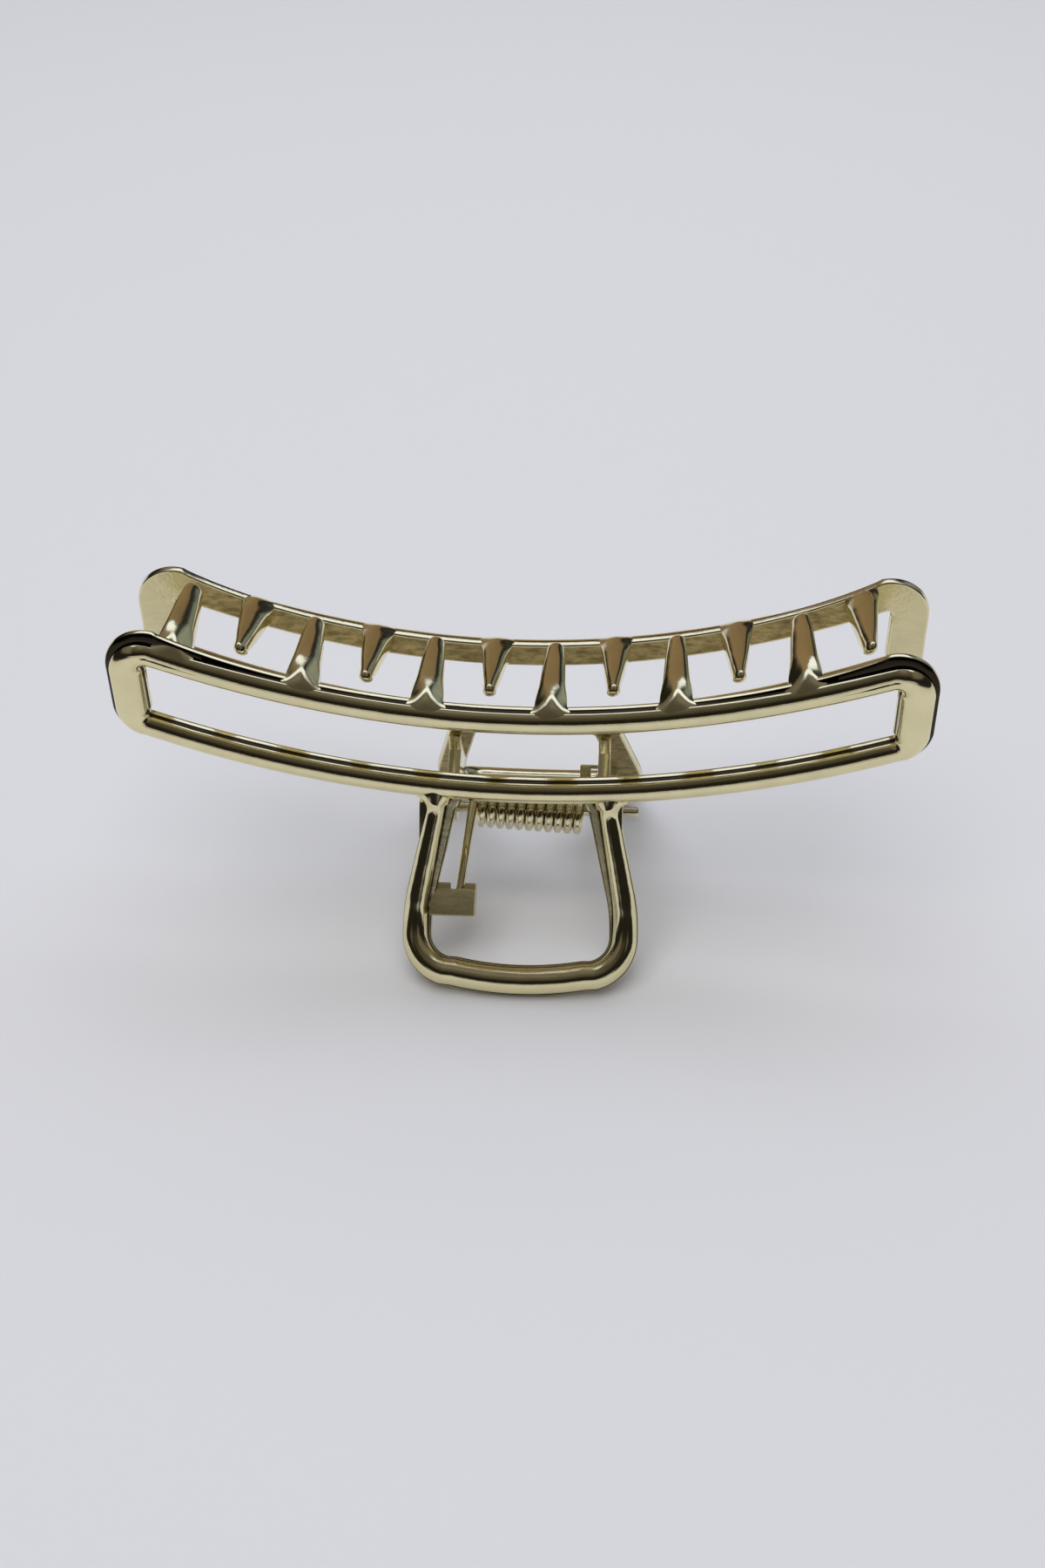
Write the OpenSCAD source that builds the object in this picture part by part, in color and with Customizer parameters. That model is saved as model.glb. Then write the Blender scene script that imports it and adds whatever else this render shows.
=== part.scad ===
// A long claw clip for the hair, cast in two equal metal halves that face each other and turn on one
// pin, with a close-wound spring on the pin. The clip stands on the ends of its two grips. X runs along
// the clip, the first half is on the -Y side, Z is up and z = 0 is the surface under the grips.

/* [Frame of each half] */
// Length of the frame from end to end
clip_length = 111.4; // [60:0.2:140]
// Height of the lowest point of the lower rail's middle line over the pin
lower_rail = 10.1; // [6:0.1:16]
// Height from the lower rail's middle line to the upper rail's
rail_step = 12; // [8:0.05:20]
// Rise of the upper rail from the middle of the clip to its ends
upper_rise = 12.3; // [0:0.05:20]
// Rise of the lower rail
lower_rise = 11.85; // [0:0.05:20]
// Distance of the frame's middle plane from the middle of the clip
frame_out = 8.9; // [6:0.1:12]
// How much further out the ends are than the middle
frame_bow = 0.85; // [0:0.05:3]
// How much further out the right end is than the middle, and the left end further in
frame_turn = 0.6; // [-2:0.05:2]
// How far a frame stands to the left of its grip, seen from its outer side
frame_aside = 0.3; // [-2:0.05:2]
// Width of the upper rail, the lower rail and the end posts
upper_width = 3.55; // [2:0.05:5]
// Width of the lower rail
lower_width = 3.45; // [2:0.05:5]
// Width of the end posts
end_width = 4.9; // [2:0.05:6]
// Thickness of the casting
cast_thick = 2.9; // [1.5:0.1:4]
// Radius of the frame's corners at the middle line
corner_radius = 2.7; // [1:0.1:5]

/* [Teeth] */
// Number of teeth on each half
tooth_count = 6; // [3:1:9]
// Distance from tooth to tooth
tooth_pitch = 16.9; // [8:0.05:22]
// Width of a tooth at the rail
tooth_root = 4.4; // [3:0.1:7]
// Width of the first half's teeth near the tip
front_tip = 2.5; // [1:0.1:4]
// Width of the second half's teeth near the tip
back_tip = 1.8; // [1:0.1:4]
// How far the tips reach past the middle of the clip
tooth_reach = 6.25; // [3:0.05:8]
// How far the teeth stand to one side of an even spacing about the middle
tooth_aside = 3.9; // [0:0.05:8]

/* [Grips] */
// Angle of the posts from the vertical
post_lean = 28; // [0:1:40]
// Depth of the bend under the pin
bend_drop = 6.78; // [2:0.02:9]
// Angle of the grip's end below the horizontal
grip_angle = 45; // [20:1:60]
// Length from the bend to the middle line of the end bar
grip_length = 7.75; // [4:0.05:20]
// Radius of the bend at the middle line
bend_radius = 15; // [2:0.5:16]
// Half the distance between the first half's posts at the lower rail
front_posts = 10.85; // [8:0.05:16]
// Half the distance between the second half's posts
back_posts = 10.25; // [8:0.05:16]
// How far the second half's grip stands to the right of its frame
back_aside = 0.65; // [-2:0.05:2]
// How much further out the posts are for each millimetre along them
post_splay = 0.225; // [0:0.005:0.4]
// Width of the posts
post_width = 4; // [2:0.1:5]
// Width of the end bar
bar_width = 4.2; // [2:0.1:5]
// Radius of the grip's corners at the middle line
grip_corner = 5.5; // [2:0.1:7]

/* [Ears and pin] */
// Thickness of an ear
ear_thick = 1.8; // [1:0.1:3]
// Inner face of the first half's ears, from the middle of the clip
outer_ear = 12.55; // [10:0.05:16]
// Inner face of the second half's ears
inner_ear = 10.2; // [8:0.05:14]
// Radius of the eye round the pin
eye_radius = 2; // [1.4:0.1:3]
// Diameter of the hinge pin
pin_diameter = 1.6; // [1:0.05:3]
// Clearance of the bores round the pin
pin_clearance = 0.06; // [0.01:0.01:0.1]
// Ends of the pin along the clip
pin_left = -14.95; // [-18:0.05:-12]
// Right end of the pin
pin_right = 16.6; // [12:0.05:20]

/* [Spring] */
// Diameter of the spring wire
wire = 1.32; // [0.6:0.02:2]
// Distance from turn to turn
turn_pitch = 1.42; // [0.7:0.02:2.2]
// Number of turns
turns = 11; // [4:1:16]
// Outer diameter of the turns
coil_diameter = 5.8; // [4:0.1:8]
// How far the turns hang below the pin's middle line
coil_drop = 0.38; // [0:0.01:0.6]
// How far the turns stand toward the first half, more at the right end than at the left
coil_lean = 0.11; // [0:0.01:0.4]

/* [Spring tab] */
// Angle of the tab's face below the horizontal
tab_angle = 45; // [20:1:60]
// Height over the pin where the plane of the tab's face meets the rails' plane
tab_height = 2.2; // [0:0.1:4]
// Side of the tab nearest to the middle of the clip
tab_in = 6.5; // [4:0.1:9]
// Start of the tab's face along its plane from the rails' plane
tab_start = 7.9; // [4:0.1:12]
// End of the tab's face
tab_end = 11.8; // [6:0.1:16]

/* [Hidden] */
half = clip_length / 2;
end_line = half - end_width / 2 - 0.25;
grip_turn = 90 - grip_angle;
bend_turn = grip_turn - post_lean;
bend_cut = bend_radius * tan(bend_turn / 2);
bend_long = bend_radius * bend_turn * PI / 180;
s_corner = (lower_rail + bend_drop) / cos(post_lean);
s_bend = s_corner - bend_cut;
s_grip = s_bend + bend_long;
s_end = s_grip + grip_length - bend_cut;
foot = bend_drop + (grip_length + bar_width / 2) * sin(grip_angle)
    + (cast_thick / 2 - 0.1) * sin(grip_turn);
pin_z = foot;
coil_r = (coil_diameter - wire) / 2;

// Half-round section: a flat inner face and a domed outer one, as [across, out] for a width of w. On the
// outward side the face can stand out under the dome by a flare f, as it does at the frame's corners.
function section(w, f = 0) = let (t = cast_thick, d = w / 2 - 0.06, e = w / 2 + 0.1) concat(
    [[-e + 0.2, -t / 2], [-e, -t / 2 + 0.3]],
    [for (a = [0 : 30 : 180]) [-(a > 90 ? d - 0.3 * f : d) * cos(a), -0.1 * t + 0.6 * t * sin(a)]],
    [[e + 1.1 * f, -t / 2 + 0.3], [e + 1.1 * f - 0.2, -t / 2]]);

// Triangles that join ring after ring of n points, closed on itself or with two caps
function skin(m, n, closed) = concat(
    [for (i = [0 : m - (closed ? 1 : 2)], j = [0 : n - 1], t = [0, 1])
        let (k = (j + 1) % n, o = ((i + 1) % m) * n, a = i * n + j, b = i * n + k, c = o + j, d = o + k)
        t == 0 ? [a, b, d] : [a, d, c]],
    closed ? [] : [[for (j = [n - 1 : -1 : 0]) j], [for (j = [0 : n - 1]) (m - 1) * n + j]]);

// A body through the rings in their order, or in the other order so that its faces look outward
module tube(rings, closed = false, back = false) {
    m = len(rings);
    n = len(rings[0]);
    polyhedron(points = [for (i = [0 : m - 1], p = rings[back ? m - 1 - i : i]) p],
        faces = skin(m, n, closed), convexity = 8);
}

// Frame: the rails' rise and slope, the plane's distance out, and the flare at a place along the clip
function rise(x, h) = h * pow(x / half, 2);
function slope(x, h) = atan(2 * h * x / half / half);
function out_at(x, k) = frame_out + frame_turn * k * x / half + frame_bow * pow(x / half, 2);
function flare(x) = pow(abs(x) / (half - 5), 6);

// Middle line of the frame as [x, z, outward x, outward z, width, flare], all the way round
function frame_line() =
    let (r = corner_radius, cx = end_line - r, t = slope(cx, upper_rise), u = slope(cx, lower_rise),
        ax = cx - r * sin(t), az = lower_rail + rail_step + rise(ax, upper_rise), ct = az - r * cos(t),
        bx = cx + r * sin(u), bz = lower_rail + rise(bx, lower_rise), cb = bz + r * cos(u))
    let (side = concat(
        [for (a = [90 + t - 18 : -18 : 8]) [cx + r * cos(a), ct + r * sin(a), cos(a), sin(a),
            upper_width + (end_width - upper_width) * (90 + t - a) / (90 + t), 0.3 + 0.7 * a / (90 + t)]],
        [[end_line, ct, 1, 0, end_width, 0.3], [end_line, cb, 1, 0, end_width, 0.3]],
        [for (a = [-16 : -16 : -90 + u + 5]) [cx + r * cos(a), cb + r * sin(a), cos(a), sin(a),
            end_width + (lower_width - end_width) * a / (-90 + u), 0.3]]))
    concat(
        [for (i = [0 : 22]) let (x = -ax + 2 * ax * i / 22, a = slope(x, upper_rise))
            [x, lower_rail + rail_step + rise(x, upper_rise), -sin(a), cos(a),
                upper_width, min(1, flare(x))]],
        side,
        [for (i = [0 : 22]) let (x = bx - 2 * bx * i / 22, a = slope(x, lower_rise))
            [x, lower_rail + rise(x, lower_rise), sin(a), -cos(a), lower_width, 0.3 * min(1, flare(x))]],
        [for (i = [len(side) - 1 : -1 : 0]) let (q = side[i]) [-q[0], q[1], -q[2], q[3], q[4], q[5]]]);

module frame(k) {
    tube([for (q = frame_line()) [for (p = section(q[4], q[5]))
        let (x = q[0] + q[2] * p[0], z = q[1] + q[3] * p[0])
        [x, -out_at(x, k) - p[1], z]]], closed = true);
}

// Grip: a flat strip [x, distance along] that leans out from the lower rail and turns further out at
// the bend, as [out, up, lean] at a distance along it
function leaning(s) = [frame_out + s * sin(post_lean), lower_rail - s * cos(post_lean), post_lean];
function fold(s) = s <= s_bend ? leaning(s)
    : s <= s_grip ? let (p = leaning(s_bend), r = bend_radius, b = post_lean + (s - s_bend) / r * 180 / PI)
        [p[0] + r * (cos(post_lean) - cos(b)), p[1] - r * (sin(b) - sin(post_lean)), b]
    : let (p = leaning(s_corner), d = s - s_grip + bend_cut)
        [p[0] + d * cos(grip_angle), p[1] - d * sin(grip_angle), grip_turn];
function folded(x, s, b) = let (f = fold(s)) [x, -(f[0] + b * cos(f[2])), f[1] + b * sin(f[2])];

function post_at(s) = post_splay * (s - pow(max(0, s - s_end + 12.5), 2) / (2 * (11.2 - grip_corner)));
function web(s, r) = let (d = r - max(0, s - lower_width / 2)) d > 0 ? r - sqrt(r * r - d * d) : 0;

// Middle line of the grip as [x, s, outward x, outward s, width], down the left post and up the right;
// the posts spread to the rail over an outer radius
function grip_line(posts, outer) =
    let (r = grip_corner, s0 = s_end - r - 1.3, cx = posts + post_at(s0) - r,
        bar = function (x) s_end - 0.0105 * x * x,
        tilt = atan(2 * 0.0105 * cx), cs = bar(cx) - r * cos(tilt))
    let (left = concat(
        [for (s = concat([-0.6, 1.75, 2, 2.4, 2.9, 3.6, 6], [for (f = [1 : 4]) 6 + (s_bend - 6) * f / 4],
            [for (f = [1 : 4]) s_bend + (cs - s_bend) * f / 4]))
            let (g = atan(post_at(s + 0.05) / 1 * 20 - post_at(s) * 20), o = web(s, outer), i = web(s, 0.5))
            [-posts - post_at(s) - (o - i) / 2, s, -cos(g), -sin(g), post_width + o + i]],
        [for (a = [15 : 15 : 90 - tilt - 4]) [-cx - r * cos(a), cs + r * sin(a), -cos(a), sin(a),
            post_width + (bar_width - post_width) * a / 90]],
        [for (i = [0 : 5]) let (x = -cx + cx * i / 5, a = atan(2 * 0.0105 * x))
            [x, bar(x), sin(a), cos(a), bar_width]]))
    concat(left, [for (i = [len(left) - 2 : -1 : 0]) let (q = left[i]) [-q[0], q[1], -q[2], q[3], q[4]]]);

module grip(posts, outer) {
    tube([for (q = grip_line(posts, outer)) [for (p = section(q[4]))
        folded(q[0] + q[2] * p[0], q[1] + q[3] * p[0], p[1])]], back = true);
}

// Tooth: a hump that slopes up over the upper rail, then a bar that runs inward and tapers to a round
// tip, as [y, width, top, height] sections
module tooth(x, tip, k) {
    o = out_at(x, k);
    top = lower_rail + rail_step + rise(x, upper_rise) + upper_width / 2;
    long = o + tooth_reach;
    r = tooth_root;
    shape = [[-0.7, 0.5 * r, -0.5, 1.3], [0.2, 0.8 * r, 0.25, 2.1], [1.2, r, 0.85, 2.8],
        [2.1, 0.97 * r, 1.2, 3], [3.1, 0.93 * r, 1.36, 3], [long / 2, 2.2 + 0.5 * tip, 1.62, 2.6],
        [long - 2.2, 1.1 * tip, 2.05, 2.2], [long - 1.1, 0.93 * tip, 1.98, 2],
        [long - 0.4, 0.7 * tip, 1.8, 1.6], [long, 0.3 * tip, 1.5, 0.9]];
    lean = tan(slope(x, upper_rise));
    tube([for (q = shape) let (w = q[1], h = q[3])
        [for (p = [[-0.5, 0.12], [-0.5, 0.42], [-0.36, 0.74], [-0.13, 1], [0.13, 1], [0.36, 0.74],
            [0.5, 0.42], [0.5, 0.12], [0.36, 0], [-0.36, 0]])
            [x + p[0] * w, -o + q[0], top + q[2] - h + p[1] * h + lean * p[0] * w]]], back = true);
}

module teeth(tip, k) {
    for (i = [0 : tooth_count - 1])
        tooth((i - (tooth_count - 1) / 2) * tooth_pitch - tooth_aside, tip, k);
}

// Tab: a face a little below the grip's outer side, on two cheeks that hold the spring's leg between them
module on_tab() {
    translate([0, -frame_out, tab_height]) rotate([tab_angle, 0, 0]) children();
}
module tab(posts) {
    root = posts + post_at(s_bend) - 1;
    on_tab() {
        translate([-root, -tab_end, 0.2]) cube([root - tab_in, tab_end - tab_start, 0.6]);
        for (c = [[-root, root - 10.1, 1.1], [-tab_in - 1.6, 1.6, 2.2]])
            translate([c[0], -tab_end + 0.2, -c[2]]) cube([c[1], tab_end - tab_start + 0.7, c[2] + 0.4]);
    }
}

// Ears: gussets from the posts that end in an eye round the pin, in [out, up] from the pin. The gussets
// belong to the casting; the eyes are true plates with round bores, let into the gussets' ends.
function touch(p, r, side) = let (a = atan2(p[1], p[0]) + side * acos(r / norm(p))) [r * cos(a), r * sin(a)];
heel = [frame_out - cast_thick / 2 - 0.95, lower_rail - lower_width / 2 - 0.3];
knee = [heel[0], heel[1] - 2.4];
function on_post(up, b) = [frame_out + (lower_rail - up) * tan(post_lean) + b / cos(post_lean), up];
low = on_post(-1.4, -0.8);
top_touch = touch(knee, eye_radius, 1);
low_touch = touch(low, eye_radius, -1);
cut = eye_radius + 0.7;
function on_line(p, q, u) = [u, p[1] + (q[1] - p[1]) * (u - p[0]) / (q[0] - p[0])];
top_cut = on_line(top_touch, knee, cut);
low_cut = on_line(low_touch, low, cut);

module ear_places(inner, aside) {
    for (x = [inner - aside, -inner - ear_thick - aside])
        translate([x, 0, 0]) rotate([90, 0, 90]) mirror([1, 0, 0]) children();
}
module gussets(inner, aside) {
    ear_places(inner, aside) linear_extrude(ear_thick)
        polygon([on_post(heel[1], -0.6), heel, knee, top_cut, low_cut, low, on_post(1.5, -0.5)]);
}
module eyes(inner, aside) {
    ear_places(inner, aside) translate([0, 0, 0.05]) linear_extrude(ear_thick - 0.1) difference() {
        union() {
            circle(eye_radius, $fn = 48);
            polygon([[0, 0], top_touch, [cut + 1, top_cut[1] - 0.25],
                [cut + 1, low_cut[1] + 0.25], low_touch]);
        }
        circle(pin_diameter / 2 + pin_clearance, $fn = 48);
    }
}

// The casting without its eyes, drawn to the clip's full length; k is 1 or -1 for the turn of the frame
module casting(posts, outer, aside, tip, k, inner, ear_aside) {
    resize([clip_length, 0, 0]) union() {
        translate([-frame_aside, 0, 0]) {
            frame(k);
            teeth(tip, k);
        }
        translate([-aside, 0, 0]) {
            grip(posts, outer);
            tab(posts);
        }
        gussets(inner, ear_aside);
    }
}

module front_jaw() {
    color([0.83, 0.79, 0.62]) translate([0, 0, pin_z]) union() {
        casting(front_posts, 2, -0.25, front_tip, 1, outer_ear, 0);
        eyes(outer_ear, 0);
    }
}

module back_jaw() {
    color([0.80, 0.77, 0.62]) translate([0, 0, pin_z]) rotate([0, 0, 180]) union() {
        casting(back_posts, 1, back_aside + 0.25, back_tip, -1, inner_ear, 0.2);
        eyes(inner_ear, 0.2);
    }
}

module hinge_pin() {
    color([0.72, 0.70, 0.60]) translate([0, 0, pin_z]) rotate([0, 90, 0]) {
        translate([0, 0, pin_left + 0.25])
            cylinder(d = pin_diameter, h = pin_right - pin_left - 0.5, $fn = 48);
        translate([0, 0, pin_left]) cylinder(d1 = pin_diameter - 0.5, d2 = pin_diameter, h = 0.25, $fn = 48);
        translate([0, 0, pin_right - 0.25])
            cylinder(d1 = pin_diameter, d2 = pin_diameter - 0.5, h = 0.25, $fn = 48);
    }
}

// Spring: a straight leg up from the first half's tab, the turns over the pin, and a leg down to the
// other tab
leg_tip = let (d = tab_end - 0.55, b = -0.6) [frame_out + d * cos(tab_angle) + b * sin(tab_angle),
    tab_height - d * sin(tab_angle) + b * cos(tab_angle)];
leg_x = tab_in + 2.6;
function middle(x) = [-coil_lean - 0.048 * x, -coil_drop - 0.015 * x];
function drop(out, z) = let (v = [leg_tip[0] - out, leg_tip[1] - z])
    asin(coil_r / norm(v)) - atan2(v[1], v[0]);
drop_left = drop(-middle(-8)[0], middle(-8)[1]);
drop_right = drop(middle(8)[0], middle(8)[1]);
coil_start = 0.3 - turn_pitch * (turns / 2 + drop_left / 360);

function coil_point(a) = let (x = coil_start + turn_pitch * (a + drop_left) / 360, m = middle(x))
    [x, m[0] + coil_r * sin(a), m[1] + coil_r * cos(a)];
function wire_line() = concat(
    [[0.15 - leg_x, -leg_tip[0], leg_tip[1]]],
    [for (i = [0 : 14 * turns])
        coil_point(-drop_left + (360 * turns + drop_left + drop_right) * i / (14 * turns))],
    [[leg_x + back_aside + 0.55, leg_tip[0], leg_tip[1]]]);
function unit(v) = v / norm(v);
module torsion_spring() {
    line = wire_line();
    n = len(line);
    r = wire / 2 / cos(22.5) * 0.985;
    color([0.78, 0.76, 0.66]) translate([0, 0, pin_z])
        tube([for (i = [0 : n - 1]) let (t = unit(line[min(n - 1, i + 1)] - line[max(0, i - 1)]),
            u = unit(cross(t, [1, 0, 0])), v = cross(t, u))
            [for (a = [22.5 : 45 : 360]) line[i] + r * (cos(a) * v + sin(a) * u)]]);
}

front_jaw();
back_jaw();
hinge_pin();
torsion_spring();
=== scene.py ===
from math import acos, asin, atan, atan2, cos, hypot, pi, radians, sin, sqrt, tan

import bmesh
import bpy
from mathutils import Matrix, Vector
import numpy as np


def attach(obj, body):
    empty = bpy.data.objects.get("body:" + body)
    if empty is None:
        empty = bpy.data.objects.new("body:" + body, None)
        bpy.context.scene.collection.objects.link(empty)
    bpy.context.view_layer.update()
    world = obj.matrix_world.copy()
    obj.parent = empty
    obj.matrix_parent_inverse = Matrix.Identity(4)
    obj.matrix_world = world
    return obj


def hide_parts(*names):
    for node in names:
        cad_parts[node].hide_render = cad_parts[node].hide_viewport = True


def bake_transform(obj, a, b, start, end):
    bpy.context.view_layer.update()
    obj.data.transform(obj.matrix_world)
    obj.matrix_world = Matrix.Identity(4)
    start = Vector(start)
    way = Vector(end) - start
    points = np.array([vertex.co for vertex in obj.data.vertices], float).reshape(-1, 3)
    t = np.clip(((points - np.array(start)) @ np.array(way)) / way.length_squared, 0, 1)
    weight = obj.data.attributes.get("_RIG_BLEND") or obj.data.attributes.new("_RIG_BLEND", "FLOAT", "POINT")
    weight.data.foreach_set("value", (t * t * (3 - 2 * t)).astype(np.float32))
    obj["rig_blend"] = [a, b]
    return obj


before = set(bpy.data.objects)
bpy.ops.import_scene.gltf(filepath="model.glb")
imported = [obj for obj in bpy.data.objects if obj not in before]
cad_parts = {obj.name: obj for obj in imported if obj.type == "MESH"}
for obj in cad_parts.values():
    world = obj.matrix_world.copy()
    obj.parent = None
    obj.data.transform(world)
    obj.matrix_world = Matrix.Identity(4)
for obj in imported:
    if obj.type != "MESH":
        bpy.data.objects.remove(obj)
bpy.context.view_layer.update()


# ---- Table and light ----
# The clip stands on a pale matt table under two wide soft lights that its metal doesn't mirror. What
# the metal mirrors is the room: a pale floor, dim walls, brownish on the left and grey-blue at the
# back right, and a bright band high up behind.
table = bmesh.new()
bmesh.ops.create_grid(table, x_segments=1, y_segments=1, size=1.6)
mesh = bpy.data.meshes.new("table")
table.to_mesh(mesh)
table.free()
table = bpy.data.objects.new("table", mesh)
bpy.context.collection.objects.link(table)
matt = bpy.data.materials.new("pale_table")
matt.use_nodes = True
shader = matt.node_tree.nodes["Principled BSDF"]
shader.inputs["Base Color"].default_value = (0.74, 0.745, 0.77, 1)
shader.inputs["Roughness"].default_value = 0.75
shader.inputs["Specular IOR Level"].default_value = 0.2
mesh.materials.append(matt)

view = bpy.data.objects.new("view", bpy.data.cameras.new("view"))
view.data.lens = 40.976
view.data.clip_start = 0.01
view.matrix_world = Matrix((
    (0.997421, -0.029927, 0.065254, 0.016544),
    (0.069834, 0.615159, -0.785305, -0.204325),
    (-0.016640, 0.787836, 0.615661, 0.179503),
    (0, 0, 0, 1)))
bpy.context.collection.objects.link(view)
bpy.context.scene.camera = view
bpy.context.scene.view_settings.view_transform = "Standard"


def soft_light(name, place, size, power, colour):
    """A wide light that hangs over the clip and is aimed at it."""
    lamp = bpy.data.lights.new(name, "AREA")
    lamp.shape, lamp.size, lamp.size_y = "RECTANGLE", size[0], size[1]
    lamp.energy, lamp.color = power, colour
    stand = bpy.data.objects.new(name, lamp)
    stand.location = place
    stand.rotation_mode = "QUATERNION"
    stand.rotation_quaternion = (-Vector(place)).to_track_quat("-Z", "Y")
    stand.visible_glossy = False
    bpy.context.collection.objects.link(stand)


soft_light("back_light", (0.05, 0.6, 0.75), (1.6, 0.8), 4.5, (0.95, 0.975, 1))
soft_light("fill_light", (-0.1, -0.3, 1.1), (1.0, 1.0), 8.0, (1, 0.99, 0.98))

room = bpy.data.worlds.new("room")
bpy.context.scene.world = room
room.use_nodes = True
tree = room.node_tree
ways = tree.nodes.new("ShaderNodeTexCoord")
split = tree.nodes.new("ShaderNodeSeparateXYZ")
tree.links.new(ways.outputs["Generated"], split.inputs[0])


def room_ramp(axis, stops):
    """A colour by how far a direction points along one axis."""
    span = tree.nodes.new("ShaderNodeMapRange")
    span.inputs["From Min"].default_value = -1
    tree.links.new(split.outputs[axis], span.inputs["Value"])
    ramp = tree.nodes.new("ShaderNodeValToRGB")
    ramp.color_ramp.interpolation = "EASE"
    while len(ramp.color_ramp.elements) < len(stops):
        ramp.color_ramp.elements.new(0.5)
    for element, (at, colour) in zip(ramp.color_ramp.elements, stops):
        element.position = (at + 1) / 2
        element.color = (*colour, 1)
    tree.links.new(span.outputs["Result"], ramp.inputs["Fac"])
    return ramp.outputs["Color"]


def room_mix(a, b, factor):
    """One part of the room fading into another."""
    mix = tree.nodes.new("ShaderNodeMix")
    mix.data_type = "RGBA"
    tree.links.new(factor, mix.inputs[0])
    tree.links.new(a, mix.inputs[6])
    tree.links.new(b, mix.inputs[7])
    return mix.outputs[2]


front_room = room_ramp("Z", [
    (-0.05, (0.46, 0.46, 0.52)), (0.13, (0.46, 0.46, 0.52)), (0.2, (0.014, 0.012, 0.01)),
    (0.6, (0.016, 0.014, 0.011)), (0.74, (0.055, 0.048, 0.037)), (0.9, (0.085, 0.077, 0.064)),
    (0.97, (0.125, 0.112, 0.1)), (1.0, (0.19, 0.175, 0.165))])
back_room = room_ramp("Z", [
    (0.71, (0, 0, 0)), (0.75, (1.05, 1.15, 1.5)), (0.90, (1.05, 1.15, 1.5)), (0.935, (0.2, 0.18, 0.165)),
    (1.0, (0.19, 0.175, 0.165))])
above = room_ramp("Z", [(0.69, (0, 0, 0)), (0.74, (1, 1, 1))])
low_back = room_ramp("X", [
    (-0.95, (0.12, 0.085, 0.055)), (-0.5, (0.27, 0.195, 0.125)), (0.16, (0.21, 0.15, 0.095)),
    (0.26, (0.018, 0.015, 0.014)), (0.38, (0.03, 0.035, 0.037)), (0.52, (0.10, 0.13, 0.14)),
    (0.7, (0.32, 0.38, 0.41)), (0.95, (0.16, 0.18, 0.19))])
side_room = room_ramp("Z", [
    (-0.34, (0.42, 0.42, 0.43)), (-0.26, (0.012, 0.011, 0.01)), (0.4, (0.015, 0.014, 0.012)),
    (0.58, (0.14, 0.125, 0.105)), (0.9, (0.17, 0.155, 0.135))])
far_side = room_ramp("Z", [(-0.1, (0.1, 0.1, 0.1)), (0.2, (0.2, 0.225, 0.24)), (0.6, (0.3, 0.33, 0.35))])
far = room_ramp("Y", [(0.42, (0, 0, 0)), (0.6, (1, 1, 1))])
depth = room_ramp("Y", [(0.05, (0, 0, 0)), (0.3, (1, 1, 1))])
left = room_ramp("X", [(-0.6, (1, 1, 1)), (-0.4, (0, 0, 0))])
right = room_ramp("X", [(0.4, (0, 0, 0)), (0.6, (1, 1, 1))])
whole = room_mix(low_back, back_room, above)
whole = room_mix(front_room, whole, depth)
whole = room_mix(whole, side_room, left)
whole = room_mix(whole, room_mix(side_room, far_side, far), right)
tree.links.new(whole, tree.nodes["Background"].inputs["Color"])
tree.nodes["Background"].inputs["Strength"].default_value = 1.0


# ---- Front jaw ----
# One half of the clip, cast in zinc as a bowed frame with six teeth and a folded grip, then plated
# pale gold. Its rails are domed outside and flat inside, where the plating shows the rough mould and is
# also darkened with painted shade; a line of painted shade runs in the groove along each edge.
# Lengths are in millimetres from the pin, and the finished mesh is scaled to metres.
PIN_HEIGHT = 14.69985
HALF = 55.7
# The rails: width at the upper rail, the lower rail and the ends, and thickness of the casting.
UPPER, LOWER, END = 3.55, 3.45, 4.9
THICK = 2.9
END_LINE = HALF - END / 2 - 0.25
FRAME_CORNER = 2.7
# Height of the lower rail, step up to the upper one, and how far each rises to its ends.
RAIL, STEP, UP, LOW = 10.1, 12.0, 12.3, 11.85
# The frame's distance out from the pin, its bow, and how far it is turned.
OUT, BOW, TURN = 8.9, 0.85, 0.6
# The frame and its teeth lie a little aside of the pin's middle.
FRAME_ASIDE = 0.3
TEETH = [(i - 2.5) * 16.9 - 3.9 for i in range(6)]
# Height and half width of a tooth's hump on the rail, and the tooth's reach past the pin.
HUMP, HUMP_HALF, TOOTH_REACH = 1.3, 2.75, 6.25
# The rail's dome under a hump: its radius, and its middle inward and down from the rail's top.
DOME_RADIUS, DOME_IN, DOME_DOWN = 1.72, 0.29, 1.805
# Where the hump's slope starts on that dome, inward and up.
SLOPE_IN, SLOPE_UP = -0.861, -0.497


def curve(keys, at):
    """A row of values on a curve through the rows of keys, by the first value of each."""
    i = 0
    while i < len(keys) - 2 and at > keys[i + 1][0]:
        i += 1
    a, b = keys[i], keys[i + 1]
    before, after = keys[max(i - 1, 0)], keys[min(i + 2, len(keys) - 1)]
    span = b[0] - a[0]
    f = max(0, min(1, (at - a[0]) / span))
    row = []
    for j in range(1, len(a)):
        m0 = (b[j] - before[j]) / (b[0] - before[0]) * span
        m1 = (after[j] - a[j]) / (after[0] - a[0]) * span
        row.append((2 * f**3 - 3 * f**2 + 1) * a[j] + (f**3 - 2 * f**2 + f) * m0
                   + (3 * f**2 - 2 * f**3) * b[j] + (f**3 - f**2) * m1)
    return row


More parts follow.
